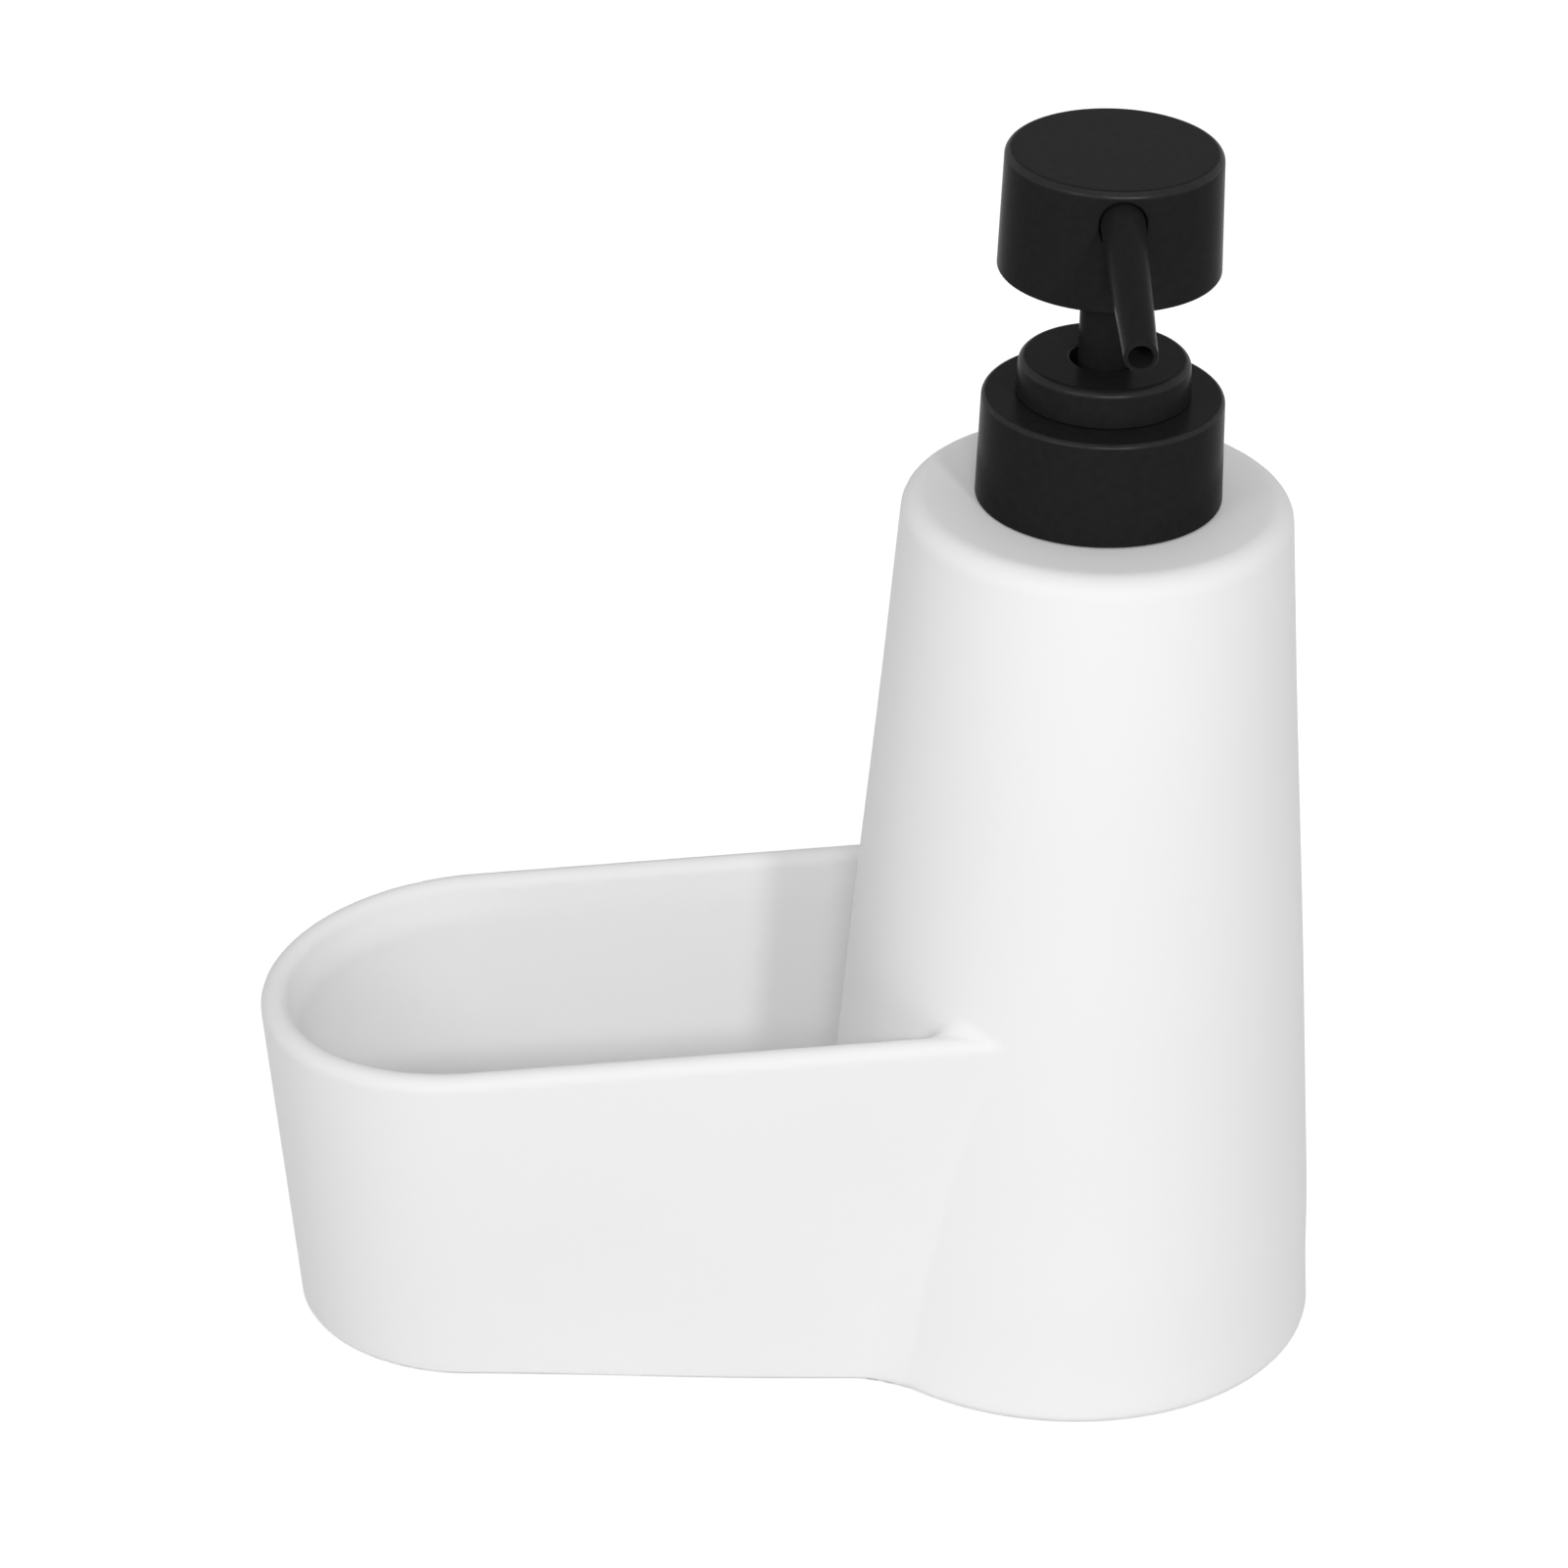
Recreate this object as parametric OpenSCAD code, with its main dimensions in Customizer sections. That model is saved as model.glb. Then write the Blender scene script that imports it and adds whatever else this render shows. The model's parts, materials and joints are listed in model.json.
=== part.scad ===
// Soap pump caddy: a tapered bottle with an open tray at its foot and a
// press-down lotion pump that screws onto the bottle's neck.
// The origin is on the pump's axis, on the surface that the caddy stands on.
// +Z is up and the tray lies towards -X. The spout points towards -Y.

/* [Bottle] */
// Height of the bottle's flat top above the standing surface
bottle_h = 143.5; // [120:0.5:180]
// Radius of the bottle at its foot
bottle_base_r = 39.9; // [37:0.1:44]
// Radius of the bottle at its flat top
bottle_top_r = 29.7; // [27:0.1:34]
// Rounding of the shoulder
shoulder_round = 3.2; // [1:0.1:6]
// Rounding of the bottle's foot
foot_round = 1.8; // [0.5:0.1:3]
// Thickness of the bottle's side wall
bottle_wall = 3; // [2:0.1:4]
// Thickness of the bottle's top wall
top_wall = 4; // [3:0.1:6]

/* [Tray] */
// Distance from the pump's axis to the centre of the tray's round end
tray_reach = 95; // [80:1:120]
// Radius of the tray's round end at its foot
tray_base_r = 26.7; // [22:0.1:28]
// Lean of the tray's wall from upright, in degrees
tray_draft = 6.5; // [2:0.1:8]
// Height of the rim over the centre of the round end
rim_end_h = 58.5; // [40:0.1:62]
// Climb of the rim towards the bottle, in degrees
rim_slope = 5.6; // [0:0.1:9]
// Thickness of the tray's wall, whose rim is fully rounded
tray_wall = 4; // [2.5:0.1:6]
// Thickness of the tray's floor, measured from the pad's recess
tray_floor = 3; // [2:0.1:5]

/* [Base] */
// Thickness of the non-slip pad
pad_t = 1.2; // [0.8:0.1:2]
// How far the pad stands out below the body
pad_proud = 0.5; // [0.3:0.1:0.7]
// Distance from the body's outline to the pad
pad_inset = 3; // [2.5:0.1:5]
// Thickness of the plate that closes the bottle
base_plate_t = 2.5; // [2:0.1:4]
// Distance from the bottle's outline to the plate that closes it
plate_inset = 2.8; // [2.7:0.1:3.1]

/* [Neck] */
// Outer radius of the neck, over the thread
neck_r = 13.7; // [13:0.1:14]
// Radius of the neck's bore
neck_bore_r = 11.5; // [10:0.1:12]
// Height of the neck above the bottle's top
neck_h = 11.5; // [10:0.1:14]
// Radius of the neck's flange
neck_flange_r = 16.2; // [15.5:0.1:16.4]
// Thickness of the neck's flange
neck_flange_t = 1.2; // [0.8:0.1:1.4]
// Length of the spigot that is glued into the bottle
spigot_l = 7; // [4:0.1:10]
// Radius of the spigot
spigot_r = 14.5; // [14:0.1:15.4]

/* [Collar] */
// Outer radius of the collar's shell at its foot
collar_r = 18.6; // [18:0.05:20]
// Outer radius of the collar's shell at its top
collar_top_r = 18.3; // [17.8:0.05:20]
// Gap between the bottle's top and the collar
collar_lift = 0.2; // [0.2:0.1:0.6]
// Thickness of the shell's top wall
collar_cap_t = 1.5; // [0.8:0.1:2]
// Rounding of the shell's upper edge
collar_round = 1; // [0.3:0.1:1.1]
// Outer radius of the screw closure inside the shell
closure_r = 16.2; // [15.6:0.1:16.6]
// Thickness of the closure's top wall
closure_top_t = 1.5; // [1:0.1:2]
// Number of grip ribs round the closure
closure_ribs = 24; // [12:1:36]
// Height of each grip rib over the closure
rib_proud = 0.45; // [0.3:0.05:0.5]

/* [Guide collar] */
// Outer radius of the narrow ring on the collar
guide_r = 13; // [12:0.1:15]
// Height of the narrow ring's top over the collar
guide_h = 6.1; // [4:0.1:8]
// Gap between the collar and the narrow ring
guide_lift = 0.3; // [0.1:0.1:0.6]
// Thickness of its top wall
guide_cap_t = 1.6; // [1:0.1:2.4]
// Rounding of its upper edge
guide_round = 1.2; // [0.2:0.1:1.4]
// Radius of the open hole round the stem
guide_hole_r = 5.6; // [5:0.05:6.6]

/* [Pump] */
// Distance that the head can be pressed down
stroke = 12; // [8:0.5:12]
// Radius of the piston's bore in the housing
pump_bore_r = 7.25; // [7:0.05:7.4]
// Thickness of the housing's wall
housing_wall = 1.25; // [1:0.05:1.4]
// Outer radius of the part of the housing that passes the collar
turret_r = 9.5; // [9.3:0.1:10]
// Radius of the housing's flange
flange_r = 13.2; // [12.5:0.1:13.4]
// Thickness of the housing's flange
flange_t = 1.5; // [1:0.1:2]
// Thickness of the neck gasket
gasket_t = 1; // [0.6:0.1:1.5]
// Depth of the guide collar's throat over the wiper
throat_l = 2.5; // [1:0.1:4]
// Thickness of the wiper ring
wiper_t = 1.6; // [1:0.1:2.4]
// Length of the bush that guides the stem
bush_l = 12; // [8:0.1:12.5]
// Outer radius of the bush
bush_r = 7.6; // [7.5:0.05:8]
// Length of the piston
piston_l = 9; // [7:0.1:10]
// Radius of the spring's chamber in the housing
spring_chamber_r = 5.6; // [5.5:0.05:6]
// Radius of the inlet ball
inlet_ball_r = 2.4; // [2.2:0.1:2.6]
// Lift of the inlet ball
inlet_ball_lift = 1.2; // [0.8:0.1:1.6]
// Outer radius of the dip tube
dip_r = 3; // [2.5:0.1:3.3]
// Wall of the dip tube
dip_wall = 0.8; // [0.5:0.1:1]
// Gap from the bottle's floor to the dip tube's tip
dip_floor_gap = 4; // [2:0.5:10]
// Slant of the dip tube's tip, in degrees
dip_cut = 40; // [0:1:50]

/* [Stem] */
// Outer radius of the stem
stem_r = 4.1; // [3.9:0.05:4.6]
// Radius of the stem's bore
stem_bore_r = 3.05; // [2.9:0.05:3.1]
// Depth to which the stem goes into the hub
stem_grip = 7; // [4:0.5:7]
// Radius of the flow passage in the rod
rod_bore_r = 1.6; // [1.2:0.1:1.8]
// Radius of the rod's foot
rod_foot_r = 5; // [4.9:0.05:5.2]
// Height of the rod's foot
rod_foot_t = 3; // [2:0.1:4]
// Radius of the outlet ball
outlet_ball_r = 2.3; // [2.1:0.1:2.4]
// Lift of the outlet ball
outlet_ball_lift = 1.2; // [0.8:0.1:1.6]

/* [Spring] */
// Radius of the spring's wire
wire_r = 0.45; // [0.35:0.05:0.5]
// Radius of the spring's turns, to the middle of the wire
spring_r = 4.5; // [4.2:0.1:4.6]
// Number of turns
spring_turns = 9; // [6:1:9]

/* [Head] */
// Gap between the guide collar and the head at rest
head_gap = 14.7; // [14.4:0.1:20]
// Radius of the head at its lower edge
head_r = 16.85; // [16.2:0.05:18]
// Radius of the head at its top
head_top_r = 16.35; // [16:0.05:17.8]
// Height of the head
head_h = 19; // [17.5:0.05:24]
// Rounding of the head's upper edge
head_round = 1.2; // [0.3:0.1:1.4]
// Thickness of the head's side wall
head_wall = 1.6; // [1:0.1:2]
// Thickness of the head's top wall
head_top_t = 1.6; // [1.2:0.1:2]
// Radius of the hub inside the head
hub_r = 7.2; // [6.8:0.1:8]
// Thickness of the sleeve that grips the hub
sleeve_t = 1.2; // [0.8:0.1:1.5]

/* [Spout] */
// Distance from the pump's axis to the spout's tip
spout_reach = 47.4; // [38:0.1:60]
// Drop of the spout from upright to its tip, in degrees
spout_drop = 11.5; // [5:0.5:14]
// Turn of the spout from -Y towards +X, in degrees
spout_turn = 1.5; // [-10:0.1:10]
// Outer radius of the spout at its root
spout_root_r = 3.4; // [3:0.05:3.5]
// Outer radius of the spout at its tip
spout_tip_r = 2.45; // [2.2:0.05:2.8]
// Radius of the spout's bore
spout_bore_r = 1.8; // [1.2:0.05:1.9]
// Distance from the axis at which the spout bends down
spout_bend_at = 14; // [10:0.1:14.5]

/* [Hidden] */
$fn = 96;

// Clearance of a shaft that turns or slides in its bore
run_gap = 0.05;
// Clearance of a piece that is glued or pressed into its seat
seat_gap = 0.03;
// Length by which a cut runs past the face that it opens
overrun = 1;

// Levels of the standing body
body_z = pad_proud;
recess_z = pad_t;
plate_top_z = recess_z + base_plate_t;
base_plate_r = bottle_base_r - plate_inset;
tray_floor_z = recess_z + tray_floor;
roof_z = bottle_h - top_wall;
neck_top_z = bottle_h + neck_h;
bottle_taper = atan((bottle_base_r - bottle_top_r) / (bottle_h - body_z));

// Levels of the pump, from the neck's rim upwards
flange_z = neck_top_z + gasket_t;
closure_cap_z = flange_z + flange_t;
shell_cap_z = closure_cap_z + closure_top_t;
collar_top_z = shell_cap_z + collar_cap_t;
collar_foot_z = bottle_h + collar_lift;
guide_foot_z = collar_top_z + guide_lift;
guide_top_z = collar_top_z + guide_h;
guide_cap_z = guide_top_z - guide_cap_t;
turret_top_z = guide_cap_z;
head_foot_z = guide_top_z + head_gap;
head_top_z = head_foot_z + head_h;
head_roof_z = head_top_z - head_top_t;

// Levels inside the pump, from the bush downwards
wiper_top_z = turret_top_z - throat_l;
bush_top_z = wiper_top_z - wiper_t;
bush_foot_z = bush_top_z - bush_l;
piston_stop_gap = 0.1;
piston_top_z = bush_foot_z - piston_stop_gap;
piston_foot_z = piston_top_z - piston_l;
rod_foot_gap = 0.2;
rod_flange_z = piston_foot_z - rod_foot_gap;
rod_foot_z = rod_flange_z - rod_foot_t;
stem_foot_z = piston_top_z + run_gap;
travel_spare = 2;
chamber_top_z = piston_foot_z - stroke - travel_spare;
spring_packed_l = wire_r * 2 * (spring_turns + 2) + travel_spare;
retainer_t = 1.5;
retainer_top_z = rod_foot_z - stroke - spring_packed_l;
retainer_z = retainer_top_z - retainer_t;
chamber_taper_h = 2.5;
chamber_wall_r = spring_chamber_r + housing_wall;
barrel_r = pump_bore_r + housing_wall;

// Inlet valve and dip tube
ball_room = 0.05;
ball_side_gap = 0.6;
inlet_bore_share = 0.65;
inlet_ball_z = retainer_z - ball_room - inlet_ball_lift - inlet_ball_r;
inlet_room_r = inlet_ball_r + ball_side_gap;
inlet_bore_r = inlet_ball_r * inlet_bore_share;
seat_angle = 45;
inlet_contact_drop = inlet_ball_r / cos(seat_angle) + ball_room;
inlet_cone_tip_z = inlet_ball_z - inlet_contact_drop;
dip_socket_l = 9;
nose_wall = 1.2;
nose_r = dip_r + nose_wall;
dip_top_z = inlet_cone_tip_z + inlet_bore_r - travel_spare;
nose_foot_z = dip_top_z - dip_socket_l;
dip_foot_z = plate_top_z + dip_floor_gap;

// Rod and outlet valve
rod_r = stem_bore_r - seat_gap;
rod_grip_l = 16;
rod_top_z = stem_foot_z + rod_grip_l;
outlet_seat_h = sqrt(outlet_ball_r * outlet_ball_r - rod_bore_r * rod_bore_r);
outlet_ball_z = rod_top_z + outlet_seat_h + ball_room;
port_r = 1.1;
port_z = rod_flange_z + rod_foot_gap + port_r;
stop_pin_z = outlet_ball_z + outlet_ball_r + outlet_ball_lift;

// Hub and spout
roof_gap = 0.05;
spout_z = head_roof_z - roof_gap - spout_root_r;
hub_rise = 2.4;
hub_foot_z = head_foot_z + hub_rise;
stem_top_z = hub_foot_z + stem_grip;
hub_bore_r = spout_bore_r;
sleeve_r = hub_r + seat_gap;
sleeve_rise = 1.5;
sleeve_foot_z = hub_foot_z + sleeve_rise;
spigot_step = 0.4;
spout_spigot_r = spout_root_r - spigot_step;
bore_lap = 0.4;
bore_step = 0.1;
level_bore_r = spout_bore_r - bore_step;
spout_hole_gap = 0.1;
spout_hole_r = spout_root_r + spout_hole_gap;
spout_hole_drop = 0.6;
spout_run_l = (spout_reach - spout_bend_at) / cos(spout_drop);
spout_inner_gap = 1.2;
spout_inner_x = hub_bore_r + spout_inner_gap;

// Vent in the housing
vent_r = 0.6;
vent_drop = 1.5;
vent_z = bush_foot_z - vent_drop;

// Tray construction. The drafted tray is made with a level rim and then
// sheared upwards along +X, so that its walls stay upright in plan.
rim_shear = tan(rim_slope);
draft_rate = tan(tray_draft);
rim_tube_r = tray_wall / 2;
tray_deep_z = -rim_shear * (tray_reach + tray_base_r) - overrun;

function tray_r(z) = tray_base_r + z * draft_rate;
function rim_mid_r() = tray_r(rim_end_h - rim_tube_r) - rim_tube_r / cos(tray_draft);
function bottle_r(z) = bottle_base_r - (z - body_z) * tan(bottle_taper);

// Half section of a turned piece with a straight slanted side from (r0, z0)
// up to (r1, z1), its lower edge rounded by f0 and its upper edge by f1.
module turned_section(r0, z0, r1, z1, f0, f1) {
    lean = atan((r0 - r1) / (z1 - z0));
    rate = (r0 - r1) / (z1 - z0);
    low_c = r0 - rate * f0 - f0 / cos(lean);
    top_c = r0 - rate * (z1 - z0 - f1) - f1 / cos(lean);
    low_side = [low_c + f0 * cos(lean), z0 + f0 + f0 * sin(lean)];
    top_side = [top_c + f1 * cos(lean), z1 - f1 + f1 * sin(lean)];
    polygon(concat(
        [[0, z0], [low_c, z0]],
        f0 > 0 ? [low_side] : [],
        f1 > 0 ? [top_side] : [],
        [[top_c, z1], [0, z1]]
    ));
    if (f0 > 0) translate([low_c, z0 + f0]) circle(f0);
    if (f1 > 0) translate([top_c, z1 - f1]) circle(f1);
}

module turned(r0, z0, r1, z1, f0, f1) {
    rotate_extrude() turned_section(r0, z0, r1, z1, f0, f1);
}

// Upright tube between two levels
module tube(r_out, r_in, z0, z1) {
    difference() {
        translate([0, 0, z0]) cylinder(r = r_out, h = z1 - z0);
        translate([0, 0, z0 - overrun]) cylinder(r = r_in, h = z1 - z0 + 2 * overrun);
    }
}

module rod(r, z0, z1) {
    translate([0, 0, z0]) cylinder(r = r, h = z1 - z0);
}

module cone(r0, r1, z0, z1) {
    translate([0, 0, z0]) cylinder(r1 = r0, r2 = r1, h = z1 - z0);
}

// Lifts each point of its children by its distance from the round end
module rim_climb() {
    multmatrix([
        [1, 0, 0, 0],
        [0, 1, 0, 0],
        [rim_shear, 0, 1, rim_shear * tray_reach],
        [0, 0, 0, 1]
    ]) children();
}

// Section of the tray's wall, drafted on both faces, with a fully round rim
module tray_wall_section() {
    c = rim_mid_r();
    z_c = rim_end_h - rim_tube_r;
    dr = rim_tube_r * cos(tray_draft);
    dz = rim_tube_r * sin(tray_draft);
    skin = tray_wall / cos(tray_draft);
    polygon([
        [tray_r(tray_deep_z) - skin, tray_deep_z],
        [tray_r(tray_deep_z), tray_deep_z],
        [c + dr, z_c - dz],
        [c - dr, z_c + dz]
    ]);
    translate([c, z_c]) circle(rim_tube_r);
}

module tray_side() {
    translate([-tray_reach, 0, 0]) rotate([90, 0, 90])
        linear_extrude(tray_reach) tray_wall_section();
}

module tray_walls() {
    rim_climb() {
        translate([-tray_reach, 0, 0]) rotate([0, 0, 90])
            rotate_extrude(angle = 180) tray_wall_section();
        tray_side();
        mirror([0, 1, 0]) tray_side();
    }
}

// Round-ended slab that reaches from the tray's round end to the pump's axis
module tray_slab(r, z0, z1) {
    translate([-tray_reach, 0, 0]) rod(r, z0, z1);
    translate([-tray_reach, -r, z0]) cube([tray_reach, 2 * r, z1 - z0]);
}

module bottle_outer() {
    turned(bottle_base_r, body_z, bottle_top_r, bottle_h, foot_round, shoulder_round);
}

module reservoir() {
    skin = bottle_wall / cos(bottle_taper);
    turned(bottle_r(plate_top_z) - skin, plate_top_z, bottle_r(roof_z) - skin, roof_z,
        0, shoulder_round);
}

module pad_outline(grow, z0, z1) {
    rod(bottle_base_r - pad_inset + grow, z0, z1);
    tray_slab(tray_base_r - pad_inset + grow, z0, z1);
}

module caddy_body() {
    color("whitesmoke") difference() {
        union() {
            bottle_outer();
            difference() {
                union() {
                    tray_walls();
                    tray_slab(tray_base_r - rim_tube_r, body_z, tray_floor_z);
                }
                translate([-2 * tray_reach, -tray_reach, body_z - tray_reach])
                    cube([2 * tray_reach, 2 * tray_reach, tray_reach]);
            }
        }
        reservoir();
        rod(base_plate_r + seat_gap, body_z - overrun, plate_top_z);
        rod(spigot_r + seat_gap, roof_z - overrun, bottle_h + overrun);
        pad_outline(seat_gap, body_z - overrun, recess_z);
    }
}

module base_plate() {
    color("gainsboro") rod(base_plate_r, recess_z, plate_top_z);
}

module base_pad() {
    color("dimgray") pad_outline(0, 0, pad_t);
}

module neck_insert() {
    color("white") difference() {
        union() {
            rod(spigot_r, bottle_h - spigot_l, bottle_h);
            rod(neck_flange_r, bottle_h, bottle_h + neck_flange_t);
            rod(neck_r, bottle_h, neck_top_z);
        }
        rod(neck_bore_r, bottle_h - spigot_l - overrun, neck_top_z + overrun);
    }
}

module closure_nut() {
    closure_foot_z = bottle_h + neck_flange_t + collar_lift;
    color("white") difference() {
        union() {
            rod(closure_r, closure_foot_z, shell_cap_z);
            for (i = [0:closure_ribs - 1])
                rotate([0, 0, i * 360 / closure_ribs]) translate([closure_r, 0, 0])
                    rod(rib_proud, closure_foot_z + rib_proud, shell_cap_z);
        }
        rod(neck_r + run_gap, closure_foot_z - overrun, closure_cap_z);
        rod(turret_r + run_gap, closure_cap_z - overrun, shell_cap_z + overrun);
    }
}

module collar_shell() {
    color("dimgray") difference() {
        turned(collar_r, collar_foot_z, collar_top_r, collar_top_z, 0, collar_round);
        rod(closure_r + rib_proud + seat_gap, collar_foot_z - overrun, shell_cap_z);
        rod(turret_r + run_gap, shell_cap_z - overrun, collar_top_z + overrun);
    }
}

module neck_gasket() {
    color("white") tube(flange_r, barrel_r + run_gap, neck_top_z, flange_z);
}

module pump_housing() {
    color("whitesmoke") difference() {
        union() {
            rod(barrel_r, chamber_top_z - chamber_taper_h, flange_z + flange_t);
            rod(flange_r, flange_z, closure_cap_z);
            rod(turret_r, flange_z, turret_top_z);
            rod(chamber_wall_r, inlet_cone_tip_z, chamber_top_z);
            cone(nose_r, chamber_wall_r, inlet_cone_tip_z - (chamber_wall_r - nose_r), inlet_cone_tip_z);
            rod(nose_r, nose_foot_z, inlet_cone_tip_z + overrun);
        }
        rod(bush_r + seat_gap, bush_foot_z, turret_top_z + overrun);
        rod(pump_bore_r, chamber_top_z, bush_foot_z + overrun);
        cone(spring_chamber_r, pump_bore_r, chamber_top_z - (pump_bore_r - spring_chamber_r), chamber_top_z);
        rod(spring_chamber_r, retainer_z, chamber_top_z);
        rod(inlet_room_r, inlet_cone_tip_z + inlet_room_r, retainer_z + overrun);
        cone(0, inlet_room_r, inlet_cone_tip_z, inlet_cone_tip_z + inlet_room_r);
        rod(inlet_bore_r, dip_top_z - overrun, inlet_cone_tip_z + inlet_bore_r);
        rod(dip_r + seat_gap, nose_foot_z - overrun, dip_top_z);
        translate([0, 0, vent_z]) rotate([0, 90, 0]) cylinder(r = vent_r, h = 2 * barrel_r);
    }
}

module guide_bush() {
    color("whitesmoke") tube(bush_r, stem_r + run_gap, bush_foot_z, bush_top_z);
}

module wiper_ring() {
    color("gray") tube(bush_r, stem_r + run_gap, bush_top_z, wiper_top_z);
}

module guide_collar() {
    color("dimgray") difference() {
        union() {
            difference() {
                turned(guide_r, guide_foot_z, guide_r, guide_top_z, 0, guide_round);
                rod(turret_r + seat_gap, guide_foot_z - overrun, guide_cap_z);
            }
            rod(bush_r, wiper_top_z, guide_cap_z + overrun);
        }
        rod(guide_hole_r, wiper_top_z - overrun, guide_top_z + overrun);
    }
}

module dip_tube() {
    color("whitesmoke") difference() {
        tube(dip_r, dip_r - dip_wall, dip_foot_z, dip_top_z);
        translate([dip_r, 0, dip_foot_z]) rotate([0, dip_cut, 0])
            translate([-4 * dip_r, -2 * dip_r, -4 * dip_r]) cube([4 * dip_r, 4 * dip_r, 4 * dip_r]);
    }
}

module ball_retainer() {
    slot_n = 4;
    slot_r_share = 0.14;
    slot_place_share = 0.52;
    slot_r = spring_chamber_r * slot_r_share;
    slot_at = spring_chamber_r * slot_place_share;
    color("whitesmoke") difference() {
        rod(spring_chamber_r - seat_gap, retainer_z, retainer_top_z);
        rod(inlet_bore_r, retainer_z - overrun, retainer_top_z + overrun);
        for (i = [0:slot_n - 1])
            rotate([0, 0, i * 360 / slot_n]) translate([slot_at, 0, 0])
                rod(slot_r, retainer_z - overrun, retainer_top_z + overrun);
    }
}

// The spring is one unbroken tube. Its first and last turns lie closed, and
// the pitch eases in and out of them. The wire's ends taper into the seats.
spring_z0 = retainer_top_z + wire_r;
spring_z1 = rod_foot_z - wire_r;
rings_per_turn = 8;
wire_sides = 6;
spring_rings = spring_turns * rings_per_turn;
end_pitch_share = 1.5;
end_pitch = 2 * wire_r * end_pitch_share;
mid_pitch = (spring_z1 - spring_z0 - 2 * end_pitch) / (spring_turns - 2);

function ease(x) = x < 0 ? 0 : x;
function spring_z(t) = spring_z0 + end_pitch * min(t, 1)
    + mid_pitch * min(ease(t - 1), spring_turns - 2)
    + end_pitch * ease(t - (spring_turns - 1));
function spring_point(t) = [spring_r * cos(360 * t), spring_r * sin(360 * t), spring_z(t)];
function wire_point(t, s) = let (
        out = [cos(360 * t), sin(360 * t), 0],
        a = 360 * s / wire_sides
    ) spring_point(t) + wire_r * (cos(a) * out + [0, 0, sin(a)]);

spring_points = [for (i = [0:spring_rings]) for (s = [0:wire_sides - 1])
    wire_point(i / rings_per_turn, s)];
spring_ends = [
    [for (s = [0:wire_sides - 1]) s],
    [for (s = [0:wire_sides - 1]) spring_rings * wire_sides + wire_sides - 1 - s]
];
spring_sides = [for (i = [0:spring_rings - 1]) for (s = [0:wire_sides - 1]) let (
        a = i * wire_sides + s,
        b = i * wire_sides + (s + 1) % wire_sides
    ) for (tri = [[a, a + wire_sides, b], [b, a + wire_sides, b + wire_sides]]) tri];
spring_gap = min([for (i = [0:spring_rings - rings_per_turn])
    norm(spring_point((i + rings_per_turn) / rings_per_turn) - spring_point(i / rings_per_turn))])
    - 2 * wire_r;

module return_spring() {
    echo(least_gap_between_turns = spring_gap);
    color("silver") polyhedron(points = spring_points, faces = concat(spring_ends, spring_sides));
}

module inlet_ball() {
    color("silver") translate([0, 0, inlet_ball_z]) sphere(inlet_ball_r);
}

// Two-lipped piston: full bearing rings at both ends and a waist between
module piston_seal() {
    lip_share = 0.28;
    waist_share = 0.84;
    lip_h = piston_l * lip_share;
    waist_r = pump_bore_r * waist_share;
    color("white") difference() {
        union() {
            rod(pump_bore_r - run_gap, piston_foot_z, piston_foot_z + lip_h);
            rod(pump_bore_r - run_gap, piston_top_z - lip_h, piston_top_z);
            rod(waist_r, piston_foot_z, piston_top_z);
        }
        rod(rod_r + run_gap, piston_foot_z - overrun, piston_top_z + overrun);
    }
}

module piston_rod() {
    color("whitesmoke") difference() {
        union() {
            rod(rod_r, rod_flange_z - overrun, rod_top_z);
            rod(rod_foot_r, rod_foot_z, rod_flange_z);
        }
        rod(rod_bore_r, rod_flange_z, rod_top_z + overrun);
        translate([0, 0, port_z]) rotate([0, 90, 0])
            cylinder(r = port_r, h = 4 * rod_r, center = true);
    }
}

module stem() {
    color("dimgray") tube(stem_r, stem_bore_r, stem_foot_z, stem_top_z);
}

module outlet_ball() {
    color("silver") translate([0, 0, outlet_ball_z]) sphere(outlet_ball_r);
}

module spout_place() {
    rotate([0, 0, spout_turn - 90]) translate([0, 0, spout_z]) children();
}

module level_rod(r, x0, x1) {
    translate([x0, 0, 0]) rotate([0, 90, 0]) cylinder(r = r, h = x1 - x0);
}

// Rod that drops from the bend on, measured along its own axis
module sloped_rod(r0, r1, d0, d1) {
    translate([spout_bend_at, 0, 0]) rotate([0, 90 + spout_drop, 0]) translate([0, 0, d0])
        cylinder(r1 = r0, r2 = r1, h = d1 - d0);
}

module spout_tube() {
    color("dimgray") spout_place() difference() {
        union() {
            level_rod(spout_spigot_r, spout_inner_x, spout_bend_at + overrun);
            sloped_rod(spout_root_r, spout_tip_r, 0, spout_run_l);
        }
        level_rod(level_bore_r, spout_inner_x - overrun, spout_bend_at);
        sloped_rod(spout_bore_r, spout_bore_r, -bore_lap, spout_run_l + overrun);
    }
}

module actuator_core() {
    color("dimgray") difference() {
        union() {
            difference() {
                rod(hub_r, hub_foot_z, head_roof_z);
                rod(stem_r + seat_gap, hub_foot_z - overrun, stem_top_z);
            }
            rod(stem_bore_r - seat_gap, stop_pin_z, stem_top_z + overrun);
        }
        rod(hub_bore_r, stop_pin_z - overrun, spout_z);
        spout_place() level_rod(spout_spigot_r + seat_gap, spout_inner_x, 2 * hub_r);
        spout_place() level_rod(level_bore_r, 0, hub_r);
    }
}

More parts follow.
